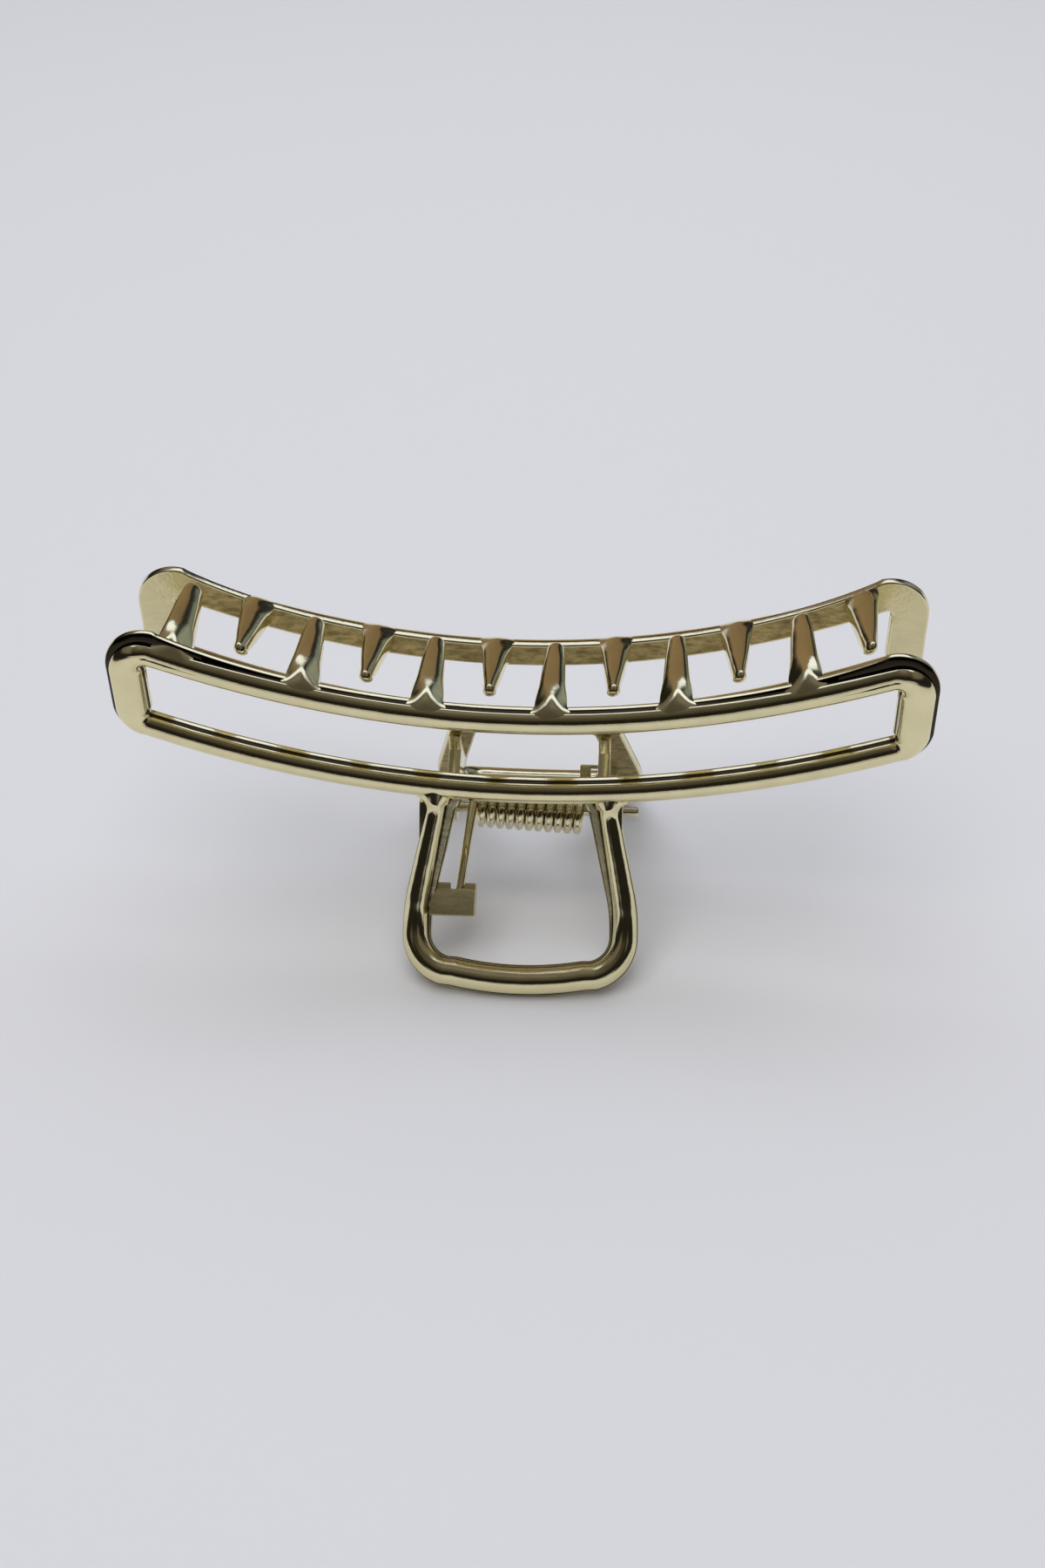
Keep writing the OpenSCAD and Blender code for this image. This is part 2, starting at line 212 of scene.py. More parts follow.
def half_round(width, edge, flare=0.0, peak=1.0, shelf=0.0):
    """Section of a rail as (across, out, rough, and a mark for mottle and painted shade): a flat plate, a
    groove and a dome. The rough flat face is mottled and also darkened as painted shade, and the groove
    holds a dark line of painted shade. On the inner side the plate can stand out from under the dome as a
    shelf."""
    t, d, e = THICK, (width - shelf) / 2 - 0.06, width / 2 + 0.1
    halves = []
    for rim, reach, aside in ((e, d, -shelf / 2), (e + 1.2 * flare, d - 0.3 * flare, shelf / 2)):
        points = []
        for inset, out, stain_and_shade in edge:
            if out >= -0.4 and points and points[-1][1] < -0.4 and aside < 0:
                points += [(rim - 0.2 - (shelf - 0.2) * i / 4, -0.4, 0.75, 0.15) for i in range(1, 4)]
            points.append(((rim if out < -0.4 else reach + aside) - inset, out, 0, stain_and_shade))
        for i in range(19):
            a = radians(16 + 74 * i / 18)
            tall = min(0.6 * t, 1.05 * reach)
            points.append((aside + reach * cos(a) ** peak, -0.1 * t + tall * sin(a) ** peak, 0, 0))
        halves.append(points)
    low, high = halves
    wide = low[0][0] + high[0][0]
    flat = [(high[0][0] - wide * f, -t / 2, 1, 1) for f in (0.02, 0.1, 0.3, 0.5, 0.7, 0.9, 0.98)]
    return [(-p[0], *p[1:]) for p in low] + high[-2::-1] + flat


def sweep(bm, rings, closed=False):
    """Wraps a grid round an outline from ring to ring and closes it."""
    marks = [bm.verts.layers.float.get(k) or bm.verts.layers.float.new(k) for k in ("rough", "stain_and_shade")]
    rows, n = rings + rings[:1] if closed else rings, len(rings[0])
    grid = bmesh.ops.create_grid(bm, x_segments=n, y_segments=len(rows) - 1, size=1)["verts"]
    for i, v in enumerate(grid):
        p = rows[i // (n + 1)][i % (n + 1) % n]
        v.co = p[:3]
        for mark, value in zip(marks, p[3:]):
            v[mark] = value
    edges = {e for v in grid for e in v.link_edges}
    bmesh.ops.remove_doubles(bm, verts=grid, dist=1e-4)
    if not closed:
        bmesh.ops.holes_fill(bm, edges=[e for e in edges if e.is_valid and e.is_boundary], sides=0)


def rise(x, h):
    return h * (x / HALF) ** 2


def slope(x, h):
    return atan(2 * h * x / HALF / HALF)


def out_at(x, k):
    return OUT + TURN * k * x / HALF + BOW * (x / HALF) ** 2


def ease(f):
    f = max(0, min(1, f))
    return f * f * (3 - 2 * f)


def lower_of(a, b, soft):
    """The lower of two heights, with the crease between them rounded off."""
    f = max(0, min(1, 0.5 + 0.5 * (b - a) / soft))
    return b + (a - b) * f - soft * f * (1 - f)


def hump_slope(y):
    """Height of the hump's slope, which starts on the rail's dome and flattens a little inward."""
    d = y - SLOPE_IN
    return SLOPE_UP + 0.9 * d - 0.032 * d * d


def gable(x, y):
    """Surface of a tooth's hump over the rail's top: a slope that rises inward, cut to a V."""
    dome = sqrt(max(0, DOME_RADIUS ** 2 - max(0, DOME_IN - y) ** 2)) - DOME_DOWN
    v = 1 - (hypot(x, 0.6) - 0.6) / (HUMP_HALF - 0.7)
    return lower_of(hump_slope(y), min(0.07, dome) - HUMP * lower_of(-v, 0, 0.45), 1.0)


def frame_line():
    """Middle line of the frame: x, z, outward x and z, width and flare."""
    r = FRAME_CORNER
    cx = END_LINE - r
    t, u = slope(cx, UP), slope(cx, LOW)
    ax = cx - r * sin(t)
    ct = RAIL + STEP + rise(ax, UP) - r * cos(t)
    bx = cx + r * sin(u)
    cb = RAIL + rise(bx, LOW) + r * cos(u)
    line = []
    for i in range(321):
        x = -ax + 2 * ax * i / 320
        a = slope(x, UP)
        flare = min(1, (abs(x) / (HALF - 5)) ** 6)
        line.append((x, RAIL + STEP + rise(x, UP), -sin(a), cos(a), UPPER, flare))
    side, top = [], pi / 2 + t
    for i in range(1, 19):
        a = top * (1 - i / 18)
        side.append((cx + r * cos(a), ct + r * sin(a), cos(a), sin(a),
                     UPPER + (END - UPPER) * i / 18, 0.3 + 0.7 * (1 - i / 18)))
    for i in range(1, 16):
        side.append((END_LINE, ct + (cb - ct) * i / 16, 1, 0, END, 0.3))
    low = pi / 2 - u
    for i in range(0, 18):
        a = -low * i / 18
        side.append((cx + r * cos(a), cb + r * sin(a), cos(a), sin(a), END + (LOWER - END) * i / 18, 0.3))
    line += side
    for i in range(161):
        x = bx - 2 * bx * i / 160
        a = slope(x, LOW)
        flare = 0.3 * min(1, (abs(x) / (HALF - 5)) ** 6)
        line.append((x, RAIL + rise(x, LOW), sin(a), -cos(a), LOWER, flare))
    line += [(-q[0], q[1], -q[2], q[3], q[4], q[5]) for q in reversed(side)]
    return line


def frame_rings(k, edge):
    rings = []
    for x, z, ox, oz, width, flare in frame_line():
        ring = []
        # The inner face's roughness and its darkening, which is partly painted shade, fade out towards the
        # frame's ends.
        plain = 1 - 0.8 * ease((abs(x) - 46) / 4)
        for across, out, rough, stain_and_shade in half_round(width, edge, flare):
            if rough:
                rough, stain_and_shade = 0.4 + 0.6 * plain, plain
            ring.append((x + ox * across, -out_at(x, k) - out, z + oz * across, rough, stain_and_shade))
        rings.append(ring)
    return rings


def tooth_rings(x, tip, k):
    """A tooth: its hump on the upper rail, then a bar that runs inward and tapers to a round tip."""
    o = out_at(x, k)
    top, lean = RAIL + STEP + rise(x, UP) + UPPER / 2, tan(slope(x, UP))
    long, cap = o + TOOTH_REACH, 0.3 + 0.45 * tip
    # Along the tooth: place, width and height.
    body = [(-1, 4.5, 3.0), (1.3, 4.4, 3.0), (3.1, 4.1, 3.0), (long / 2, 2.2 + 0.5 * tip, 2.6),
            (long - 2.2, 1.1 * tip, 2.2), (long, tip, 1.8)]
    places = [-0.9 + 0.12 * i for i in range(34)]
    places += [3.06 + (long - cap - 3.06) * i / 34 for i in range(1, 35)]
    places += [long - cap + cap * sin(pi / 2 * i / 12) * 0.995 for i in range(1, 13)]
    rings = []
    for y in places:
        w, h = curve(body, y)
        end = max(0, (y - long + cap) / cap)
        round_off = sqrt(1 - end * end)
        lift = 0.55 * max(0, min(1, (y - 1) / (long - 3)))
        high = lower_of(hump_slope(y), HUMP + 0.07 + lift, 1.0) - 0.5 * h * (1 - round_off)
        w, h = w * round_off, h * round_off
        near = ease((y - long + 5) / 4)
        skirt, box, dome = ease((5.5 - y) / 4.2), 0.78 + 0.22 * near, h * (0.45 + 0.15 * near)
        foot = HUMP_HALF - 0.55 * ease((y + 0.2) / 1.7)
        ring = []
        for i in range(37):
            c, u = cos(pi * i / 36), sin(pi * i / 36)
            px = -(w / 2) * (c ** box if c > 0 else -abs(c) ** box)
            pz = high - dome + dome * u ** box
            qx = -foot * (1.3 * c - 0.3 * c ** 3)
            px, pz = px + (qx - px) * skirt, pz + (gable(qx, y) + lift - pz) * skirt
            ring.append((x + px, y - o, top + pz + lean * px))
        square = 0.35 + 0.65 * near
        for i in range(1, 12):
            c, u = cos(pi * i / 12), sin(pi * i / 12)
            px = (w / 2) * (c ** square if c > 0 else -abs(c) ** square)
            pz = high - dome - (h - dome) * u ** square
            qx = foot * (1.3 * c - 0.3 * c ** 3)
            px, pz = px + (qx - px) * skirt, pz + (-1.2 * u ** 0.5 - 0.3 - pz) * skirt
            ring.append((x + px, y - o, top + pz + lean * px))
        rings.append(ring)
    return rings


# The grip: lean of its posts, fall of its end, and radius of the bend between them.
LEAN, FALL, BEND_R = radians(28), radians(45), 15.0
BEND_CUT = BEND_R * tan((FALL - LEAN) / 2)
# Distances along the grip from the lower rail, down to the end bar's middle line.
S_CORNER = (RAIL + 6.78) / cos(LEAN)
S_BEND = S_CORNER - BEND_CUT
S_GRIP = S_BEND + BEND_R * (FALL - LEAN)
S_END = S_GRIP + 7.75 - BEND_CUT
POST, BAR, SPLAY, CORNER, BAR_SAG = 4.0, 4.2, 0.225, 5.5, 0.0105


def folded(x, s, b):
    """From the flat strip of the grip to its place: leaning out from the rail, further at the bend."""
    near = min(s, S_BEND)
    f = (OUT + near * sin(LEAN), RAIL - near * cos(LEAN), LEAN)
    if S_BEND < s <= S_GRIP:
        a = LEAN + (s - S_BEND) / BEND_R
        f = (f[0] + BEND_R * (cos(LEAN) - cos(a)), f[1] - BEND_R * (sin(a) - sin(LEAN)), a)
    elif s > S_GRIP:
        d = s - S_GRIP + BEND_CUT
        f = (OUT + S_CORNER * sin(LEAN) + d * cos(FALL), RAIL - S_CORNER * cos(LEAN) - d * sin(FALL), FALL)
    return (x, -(f[0] + b * cos(f[2])), f[1] + b * sin(f[2]))


def post_at(s):
    """How far a post has spread, which levels off over its last 12.5 mm."""
    return SPLAY * (s - max(0, s - S_END + 12.5) ** 2 / (2 * (11.2 - CORNER)))


def web(s, r):
    """Extra width of a post where it runs out into the rail in a radius."""
    d = r - max(0, s - LOWER / 2)
    return r - sqrt(r * r - d * d) if d > 0 else 0


SHELF, BAR_SHELF = 1.5, 0.3


def grip_rings(posts, outer, edge):
    """Down the left post, round the end bar and up the right post."""
    r = CORNER
    s0 = S_END - r - 1.3
    cx = posts + post_at(s0) - r
    tilt = atan(2 * BAR_SAG * cx)
    cs = S_END - BAR_SAG * cx * cx - r * cos(tilt)
    line = []
    spots = [-0.6, 0.8] + [LOWER / 2 + 0.02 + 0.14 * i for i in range(16)]
    n = 60
    spots += [spots[-1] + (cs - spots[-1]) * i / n for i in range(1, n + 1)]
    for s in spots:
        g = atan((post_at(s + 0.05) - post_at(s)) * 20)
        o, i = web(s, outer), web(s, 0.5)
        line.append((-posts - post_at(s) - (o - i) / 2, s, -cos(g), -sin(g), POST + o + i,
                     SHELF - (SHELF - BAR_SHELF) * max(0, s) / cs))
    steps = 18
    for i in range(1, steps):
        a = (pi / 2 - tilt) * i / steps
        width = POST + (BAR - POST) * i / steps
        line.append((-cx - r * cos(a), cs + r * sin(a), -cos(a), sin(a), width, BAR_SHELF))
    for i in range(25):
        x = -cx + cx * i / 24
        a = atan(2 * BAR_SAG * x)
        line.append((x, S_END - BAR_SAG * x * x, sin(a), cos(a), BAR, BAR_SHELF))
    line += [(-q[0], q[1], -q[2], *q[3:]) for q in reversed(line[:-1])]
    return [[(*folded(x + ox * across, s + os * across, out), rough, stain_and_shade)
             for across, out, rough, stain_and_shade in half_round(width, edge, 0, 1.1, shelf)]
            for x, s, ox, os, width, shelf in line]


def block(bm, low, high, place, bevel):
    """A cast block with its long edges broken."""
    made = bmesh.ops.create_cube(bm, size=1)["verts"]
    size = [b - a for a, b in zip(low, high)]
    bmesh.ops.scale(bm, vec=size, verts=made)
    bmesh.ops.translate(bm, vec=[(a + b) / 2 for a, b in zip(low, high)], verts=made)
    edges = list({e for v in made for e in v.link_edges})
    out = bmesh.ops.bevel(bm, geom=edges, offset=bevel, offset_type="OFFSET", segments=4, profile=0.5,
                          affect="EDGES", material=-1, clamp_overlap=True)
    seen = {v for f in out["faces"] for v in f.verts} | {v for v in made if v.is_valid}
    rough, stain_and_shade = bm.verts.layers.float["rough"], bm.verts.layers.float["stain_and_shade"]
    for v in seen:
        # The tab's faces are rough and mottled, and also darkened as painted shade.
        v[rough], v[stain_and_shade] = 0.8, 0.5
    bmesh.ops.transform(bm, matrix=place, verts=list(seen))


# The tab lies in the plane of the grip's end, from its start to its end along that plane.
TAB_HEIGHT, TAB_START, TAB_END, TAB_IN = 2.2, 7.9, 11.8, 6.5


def tab_blocks(bm, posts):
    """The tab beside the left post: a face a little below the grip's outer side, on two cheeks."""
    root = posts + post_at(S_BEND) - 1.7
    place = Matrix.Translation((0, -OUT, TAB_HEIGHT)) @ Matrix.Rotation(FALL, 4, "X")
    tilt = place @ Matrix.Rotation(radians(-7), 4, "X") @ Matrix.Translation((0, 0, -1.1))
    block(bm, (-root, -TAB_END, 0.2), (-TAB_IN, -TAB_START, 0.8), tilt, 0.16)
    for low, high, deep in ((-root, -10.1, 1.1), (-TAB_IN - 1.6, -TAB_IN, 2.2)):
        block(bm, (low, -TAB_END + 0.2, -deep), (high, -TAB_START + 0.9, 0.4), place, 0.12)


# Radius of an eye, width of the pin and thickness of an ear.
EYE, PIN, EAR_THICK = 2.0, 1.6, 1.8
# From millimetres round the pin to metres over the table.
STAND = Matrix.Scale(0.001, 4) @ Matrix.Translation((0, 0, PIN_HEIGHT))
# Corners of an ear's outline, as (out, up): the heel under the lower rail and the knee below it.
HEEL = (OUT - THICK / 2 - 0.95, RAIL - LOWER / 2 - 0.3)
KNEE = (HEEL[0], HEEL[1] - 2.4)


def on_post(up, b):
    """A point of the leaning post, b out from its middle, as (out, up)."""
    return (OUT + (RAIL - up) * tan(LEAN) + b / cos(LEAN), up)


# Where an ear's lower edge meets the post.
FOOT = on_post(-1.4, -0.8)


def touch(p, side):
    """The angle at which a line from p touches the eye."""
    return atan2(p[1], p[0]) + side * acos(EYE / hypot(*p))


def ear_plates(bm, inner, thick, aside):
    """The two ears: a gusset from each post that ends in an eye round the pin."""
    a, b = touch(KNEE, 1), touch(FOOT, -1)
    outline = [on_post(HEEL[1], -0.6), HEEL, KNEE]
    turns = [a + (b + 2 * pi - a) * i / 28 for i in range(29)]
    outline += [(EYE * cos(v), EYE * sin(v)) for v in turns]
    outline += [FOOT, on_post(1.5, -0.5)]
    for x in (inner - aside, -inner - thick - aside):
        row = [bm.verts.new((x, -p, q)) for p, q in outline]
        rim = [bm.edges.new((row[i - 1], row[i])) for i in range(len(row))]
        side = Matrix.Translation((x, 0, 0)) @ Matrix.Rotation(pi / 2, 4, "Y")
        hole = bmesh.ops.create_circle(bm, segments=40, radius=PIN / 2 + 0.05, matrix=side)["verts"]
        inside = list({e for v in hole for e in v.link_edges})
        filled = bmesh.ops.triangle_fill(bm, edges=rim + inside, use_beauty=True)["geom"]
        faces = [g for g in filled if isinstance(g, bmesh.types.BMFace)]
        made = bmesh.ops.extrude_face_region(bm, geom=faces, use_keep_orig=True)["geom"]
        moved = [g for g in made if isinstance(g, bmesh.types.BMVert)]
        bmesh.ops.translate(bm, vec=(thick, 0, 0), verts=moved)
        round_edges = [e for e in {e for v in row + moved for e in v.link_edges}
                       if len(e.link_faces) == 2 and e.calc_face_angle(0) > 1.2
                       and abs(e.verts[0].co.x - e.verts[1].co.x) < 1e-6]
        bmesh.ops.recalc_face_normals(bm, faces=bm.faces)
        bmesh.ops.bevel(bm, geom=round_edges, offset=0.18, offset_type="OFFSET", segments=3, profile=0.5,
                        affect="EDGES", material=-1, clamp_overlap=True)


def cast(name, posts, outer, aside, tip, k, ear, ear_aside, edge, turned):
    """Joins a half's parts in its casting and puts it in its place. A post's middle line starts at
    posts from the middle, and an ear's inner face is at ear. The grip and the ears are shifted by
    aside and ear_aside. outer is the radius at a post's root, tip the width of a tooth's tip, k the
    way the frame is turned, and edge the outline of a rail's edge."""
    bm = bmesh.new()
    for mark in ("rough", "stain_and_shade"):
        bm.verts.layers.float.new(mark)
    sweep(bm, frame_rings(k, edge), closed=True)
    for x in TEETH:
        sweep(bm, tooth_rings(x, tip, k))
    bmesh.ops.translate(bm, vec=(-FRAME_ASIDE, 0, 0), verts=bm.verts)
    frame_verts = set(bm.verts)
    sweep(bm, grip_rings(posts, outer, edge))
    tab_blocks(bm, posts)
    bmesh.ops.translate(bm, vec=(-aside, 0, 0), verts=[v for v in bm.verts if v not in frame_verts])
    ear_plates(bm, ear, EAR_THICK, ear_aside)
    bmesh.ops.recalc_face_normals(bm, faces=bm.faces)
    round_about = Matrix.Rotation(pi if turned else 0, 4, "Z")
    bmesh.ops.transform(bm, verts=bm.verts, matrix=STAND @ round_about)
    mesh = bpy.data.meshes.new(name)
    bm.to_mesh(mesh)
    bm.free()
    mesh.shade_smooth()
    mesh.set_sharp_from_angle(angle=radians(55))
    made = bpy.data.objects.new(name, mesh)
    bpy.context.collection.objects.link(made)
    return made


plating = bpy.data.node_groups.new("plating", "ShaderNodeTree")
for socket, kind, way in (
        ("Plate", "Color", "INPUT"), ("Polish", "Float", "INPUT"), ("Grain", "Float", "INPUT"),
        ("Colour", "Color", "OUTPUT"), ("Metal", "Float", "OUTPUT"), ("Roughness", "Float", "OUTPUT"),
        ("Normal", "Vector", "OUTPUT")):
    plating.interface.new_socket(name=socket, in_out=way, socket_type="NodeSocket" + kind)
nodes, links = plating.nodes, plating.links
given, shown = nodes.new("NodeGroupInput"), nodes.new("NodeGroupOutput")
spot = nodes.new("ShaderNodeTexCoord")


def grain_noise(scale, detail, stretch=None):
    """A noise on the piece's own coordinates; stretch draws it out along the rails."""
    noise = nodes.new("ShaderNodeTexNoise")
    noise.inputs["Scale"].default_value = scale
    noise.inputs["Detail"].default_value = detail
    along = spot.outputs["Object"]
    if stretch:
        squeeze = nodes.new("ShaderNodeMapping")
        squeeze.inputs["Scale"].default_value = stretch
        links.new(along, squeeze.inputs["Vector"])
        along = squeeze.outputs["Vector"]
    links.new(along, noise.inputs["Vector"])
    return noise


def by_mark(mark, low, high):
    """A value that runs from low to high with a mark on the mesh."""
    ramp = nodes.new("ShaderNodeMapRange")
    for end, value in (("To Min", low), ("To Max", high)):
        if isinstance(value, float):
            ramp.inputs[end].default_value = value
        else:
            links.new(value, ramp.inputs[end])
    links.new(mark.outputs["Fac"], ramp.inputs["Value"])
    return ramp.outputs["Result"]


mask, stain_and_shade = nodes.new("ShaderNodeAttribute"), nodes.new("ShaderNodeAttribute")
mask.attribute_name, stain_and_shade.attribute_name = "rough", "stain_and_shade"
tone = grain_noise(260, 3)
shade = nodes.new("ShaderNodeValToRGB")
shade.color_ramp.elements[0].position = 0.3
shade.color_ramp.elements[0].color = (0.9, 0.9, 0.9, 1)
shade.color_ramp.elements[1].position = 0.7
links.new(tone.outputs["Fac"], shade.inputs["Fac"])
blotch = grain_noise(1300, 5, (0.35, 1, 1))
blotch.inputs["Roughness"].default_value = 0.7
# Mottled colours of the rough cast face, kept dark so that they also paint shade onto it.
cloud_and_shade = nodes.new("ShaderNodeValToRGB")
cloud_and_shade.color_ramp.elements[0].position = 0.36
cloud_and_shade.color_ramp.elements[0].color = (0.3, 0.245, 0.15, 1)
cloud_and_shade.color_ramp.elements[1].position = 0.62
cloud_and_shade.color_ramp.elements[1].color = (0.68, 0.6, 0.42, 1)
links.new(blotch.outputs["Fac"], cloud_and_shade.inputs["Fac"])
tint, dull_and_shade, painted_groove_shade = [nodes.new("ShaderNodeMix") for i in range(3)]
# Where the darkening mark is set on polished metal, in the groove, the colour is pushed to near black as
# painted shade.
groove = nodes.new("ShaderNodeMath")
groove.operation = "SUBTRACT"
groove.use_clamp = True
links.new(stain_and_shade.outputs["Fac"], groove.inputs[0])
links.new(mask.outputs["Fac"], groove.inputs[1])
for mix, blend in ((tint, "MULTIPLY"), (dull_and_shade, "MULTIPLY"), (painted_groove_shade, "MIX")):
    mix.data_type = "RGBA"
    mix.blend_type = blend
tint.inputs[0].default_value = 1
links.new(given.outputs["Plate"], tint.inputs[6])
links.new(shade.outputs["Color"], tint.inputs[7])
# The marked faces take the mottled colours, darkened as painted shade.
links.new(stain_and_shade.outputs["Fac"], dull_and_shade.inputs[0])
links.new(tint.outputs[2], dull_and_shade.inputs[6])
links.new(cloud_and_shade.outputs["Color"], dull_and_shade.inputs[7])
# Near-black painted shade in the grooves.
painted_groove_shade.inputs[7].default_value = (0.035, 0.028, 0.018, 1)
links.new(groove.outputs[0], painted_groove_shade.inputs[0])
links.new(dull_and_shade.outputs[2], painted_groove_shade.inputs[6])
links.new(painted_groove_shade.outputs[2], shown.inputs["Colour"])
links.new(by_mark(mask, 1.0, 0.85), shown.inputs["Metal"])
links.new(by_mark(mask, given.outputs["Polish"], 0.36), shown.inputs["Roughness"])
swell = nodes.new("ShaderNodeBump")
swell.inputs["Distance"].default_value = 0.00009
links.new(grain_noise(230, 1.5).outputs["Fac"], swell.inputs["Height"])
bump = nodes.new("ShaderNodeBump")
bump.inputs["Distance"].default_value = 0.00015
links.new(swell.outputs["Normal"], bump.inputs["Normal"])
links.new(grain_noise(1700, 4).outputs["Fac"], bump.inputs["Height"])
links.new(by_mark(mask, given.outputs["Grain"], 0.5), bump.inputs["Strength"])
links.new(bump.outputs["Normal"], shown.inputs["Normal"])


def plate_finish(name, colour, rough, grain, mould=True):
    """Pale gold plating: mirror bright where the mould was polished, mottled where it was not, with painted
    shade darkening the rough faces and a near-black line of painted shade in the grooves. A piece that
    comes from no mould is evenly bright."""
    gold = bpy.data.materials.new(name)
    gold.use_nodes = True
    nodes, links = gold.node_tree.nodes, gold.node_tree.links
    shader, plate = nodes["Principled BSDF"], nodes.new("ShaderNodeGroup")
    plate.node_tree = plating
    plate.inputs["Plate"].default_value = (*colour, 1)
    plate.inputs["Polish"].default_value = rough
    plate.inputs["Grain"].default_value = grain
    shader.inputs["Metallic"].default_value = 1.0
    shader.inputs["Roughness"].default_value = rough
    links.new(plate.outputs["Colour"], shader.inputs["Base Color"])
    links.new(plate.outputs["Normal"], shader.inputs["Normal"])
    if mould:
        links.new(plate.outputs["Metal"], shader.inputs["Metallic"])
        links.new(plate.outputs["Roughness"], shader.inputs["Roughness"])
    return gold


# A rail's edge as (inset, out, and a mark for mottle and painted shade). Where the last value is set on the
# polished edge, it paints a near-black line of shade into the groove.
FRONT_EDGE = [(0.30, -1.45, 0), (0.19, -1.42, 0), (0.09, -1.35, 0), (0.025, -1.25, 0), (0, -1.12, 0),
              (0.02, -0.95, 0), (0.05, -0.80, 0), (0.08, -0.66, 0), (0.10, -0.60, 0.5), (0.15, -0.52, 1),
              (0.21, -0.44, 1), (0.04, -0.36, 1), (0.09, -0.26, 1), (0.08, -0.08, 0.9)]
front_jaw = cast("front_jaw_cast", posts=10.85, outer=2, aside=-0.25, tip=2.5, k=1,
                 ear=12.55, ear_aside=0, edge=FRONT_EDGE, turned=False)
front_gold = plate_finish("front_gold_plate", (0.87, 0.79, 0.48), 0.12, 0.06)
front_jaw.data.materials.append(front_gold)
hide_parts("front_jaw")
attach(front_jaw, "front")


# ---- Back jaw ----
# The other half, from a like mould: its grip is a little narrower so that its ears stand inside the
# first half's, and its teeth taper more.
# As above, the last value paints a near-black line of shade into the groove.
BACK_EDGE = [(0.40, -1.45, 0), (0.30, -1.435, 0), (0.22, -1.39, 0), (0.165, -1.31, 0), (0.14, -1.2, 0),
             (0.10, -0.95, 0), (0.05, -0.66, 0), (0.05, -0.6, 0.3), (0.12, -0.54, 1), (0.13, -0.5, 1),
             (0.05, -0.44, 0.6), (0, -0.38, 0), (-0.02, -0.2, 0), (0, 0, 0), (0.03, 0.1, 0)]
back_jaw = cast("back_jaw_cast", posts=10.25, outer=1, aside=0.9, tip=1.8, k=-1,
                ear=10.2, ear_aside=0.2, edge=BACK_EDGE, turned=True)
back_gold = plate_finish("back_gold_plate", (0.86, 0.78, 0.48), 0.13, 0.08)
back_jaw.data.materials.append(back_gold)
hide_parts("back_jaw")
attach(back_jaw, "back")


# ---- Hinge pin ----
# A plain drawn rod through the four eyes, with its cut ends broken and left bare of the casting's
# polish.
bm = bmesh.new()
profile = [(-14.95, 0), (-14.95, 0.50), (-14.90, 0.62), (-14.80, 0.71), (-14.66, 0.76), (-14.45, 0.785),
           (0, 0.785), (16.1, 0.785), (16.31, 0.76), (16.45, 0.71), (16.55, 0.62), (16.6, 0.50), (16.6, 0)]
row = [bm.verts.new((x, r, 0)) for x, r in profile]
rod = [bm.edges.new(pair) for pair in zip(row, row[1:])]
bmesh.ops.spin(bm, geom=row + rod, cent=(0, 0, 0), axis=(1, 0, 0), angle=2 * pi, steps=48, use_merge=True)
bmesh.ops.remove_doubles(bm, verts=bm.verts, dist=0.0005)
bmesh.ops.recalc_face_normals(bm, faces=bm.faces)
bmesh.ops.transform(bm, verts=bm.verts, matrix=STAND)
mesh = bpy.data.meshes.new("hinge_pin_rod")
bm.to_mesh(mesh)
bm.free()
mesh.shade_smooth()
mesh.set_sharp_from_angle(angle=radians(40))
hinge_pin = bpy.data.objects.new("hinge_pin_rod", mesh)
bpy.context.collection.objects.link(hinge_pin)
pin_plate = plate_finish("pin_plate", (0.80, 0.75, 0.55), 0.2, 0.12, mould=False)
mesh.materials.append(pin_plate)
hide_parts("hinge_pin")
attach(hinge_pin, "front")


# ---- Torsion spring ----
# One length of round wire, wound close round the pin, with a straight leg down to each half's tab. It
# twists as the clip opens.
WIRE, PITCH, TURNS, COIL_WIDTH = 1.32, 1.42, 11, 5.8
COIL = (COIL_WIDTH - WIRE) / 2
# A leg's tip: how far along the tab's plane and in from it, and so its place as (out, up).
leg_along, leg_in = TAB_END - 0.55, -0.6
leg_tip = (OUT + leg_along * cos(FALL) + leg_in * sin(FALL),
           TAB_HEIGHT - leg_along * sin(FALL) + leg_in * cos(FALL))
leg_x = TAB_IN + 2.6


def coil_middle(x):
    """Middle of the coil, which hangs a little under the pin and lies askew on it, as (out, up)."""
    return (-0.11 - 0.048 * x, -0.38 - 0.015 * x)


def leaves_at(out, z):
    """The angle at which a leg leaves a coil round this middle, straight to its tip."""
    v = (leg_tip[0] - out, leg_tip[1] - z)
    return asin(COIL / hypot(*v)) - atan2(v[1], v[0])


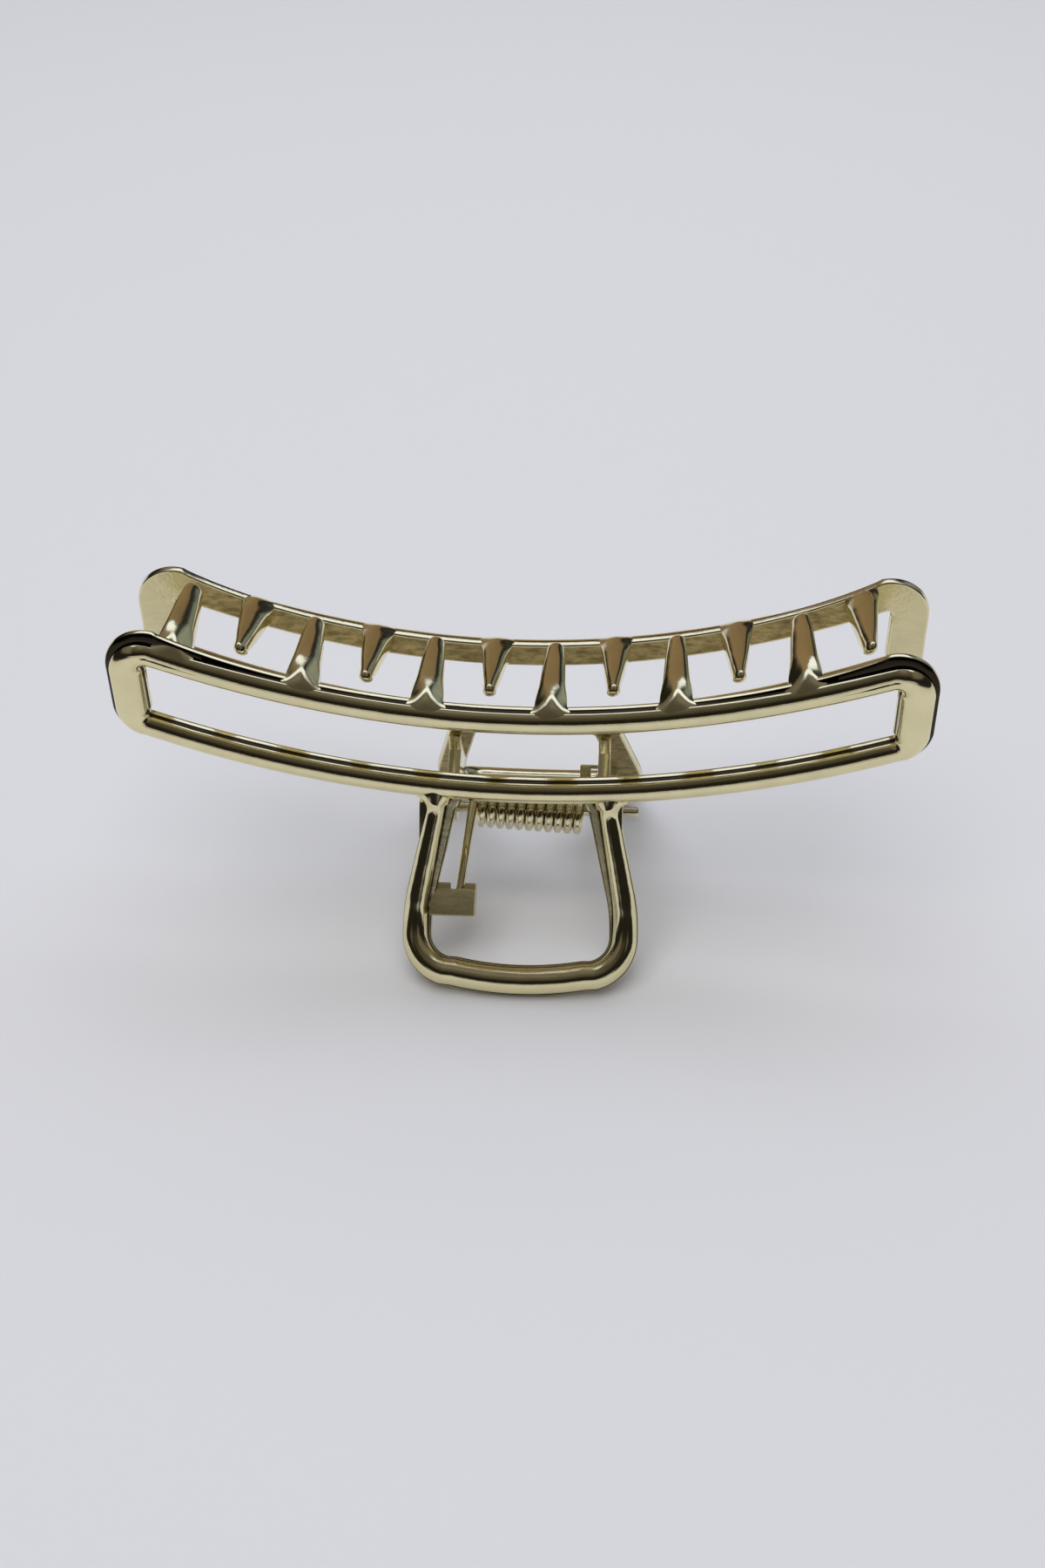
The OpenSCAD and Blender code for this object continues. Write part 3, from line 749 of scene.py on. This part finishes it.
left_turn = leaves_at(-coil_middle(-8)[0], coil_middle(-8)[1])
right_turn = leaves_at(*coil_middle(8))
# The wire's line, from the front leg's tip on the left to the back leg's on the right.
start_x = 0.3 - PITCH * (TURNS / 2 + left_turn / (2 * pi))
line = [Vector((0.15 - leg_x, -leg_tip[0], leg_tip[1]))]
count = 36 * TURNS
turned = 2 * pi * TURNS + left_turn + right_turn
for i in range(count + 1):
    a = -left_turn + turned * i / count
    x = start_x + PITCH * (a + left_turn) / (2 * pi)
    m = coil_middle(x)
    line.append(Vector((x, m[0] + COIL * sin(a), m[1] + COIL * cos(a))))
line.append(Vector((leg_x + 1.2, leg_tip[0], leg_tip[1])))
legs = []
for tip, first in ((line[0], line[1]), (line[-1], line[-2])):
    legs.append([tip.lerp(first, f) for f in (0.0, 0.003, 0.01, 0.02, 0.25, 0.5, 0.75, 0.9)])
line = legs[0] + line[1:-1] + legs[1][::-1]
rings = []
for i, p in enumerate(line):
    t = (line[min(i + 1, len(line) - 1)] - line[max(i - 1, 0)]).normalized()
    u = t.cross(Vector((1, 0, 0))).normalized()
    v = t.cross(u)
    near = min(i, len(line) - 1 - i)
    r = WIRE / 2 * 0.99 * (0.6, 0.85, 0.96)[near] if near < 3 else WIRE / 2 * 0.99
    rings.append([tuple(p + r * (cos(a) * v + sin(a) * u)) for a in [2 * pi * j / 20 for j in range(20)]])
bm = bmesh.new()
sweep(bm, rings)
bmesh.ops.recalc_face_normals(bm, faces=bm.faces)
bmesh.ops.transform(bm, verts=bm.verts, matrix=STAND)
mesh = bpy.data.meshes.new("spring_wire")
bm.to_mesh(mesh)
bm.free()
mesh.shade_smooth()
mesh.set_sharp_from_angle(angle=radians(50))
spring = bpy.data.objects.new("spring_wire", mesh)
bpy.context.collection.objects.link(spring)
wire_plate = plate_finish("wire_plate", (0.86, 0.80, 0.56), 0.1, 0.03, mould=False)
mesh.materials.append(wire_plate)
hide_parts("torsion_spring")
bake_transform(spring, "front", "back", start=(-0.007, 0, 0.0147), end=(0.007, 0, 0.0147))
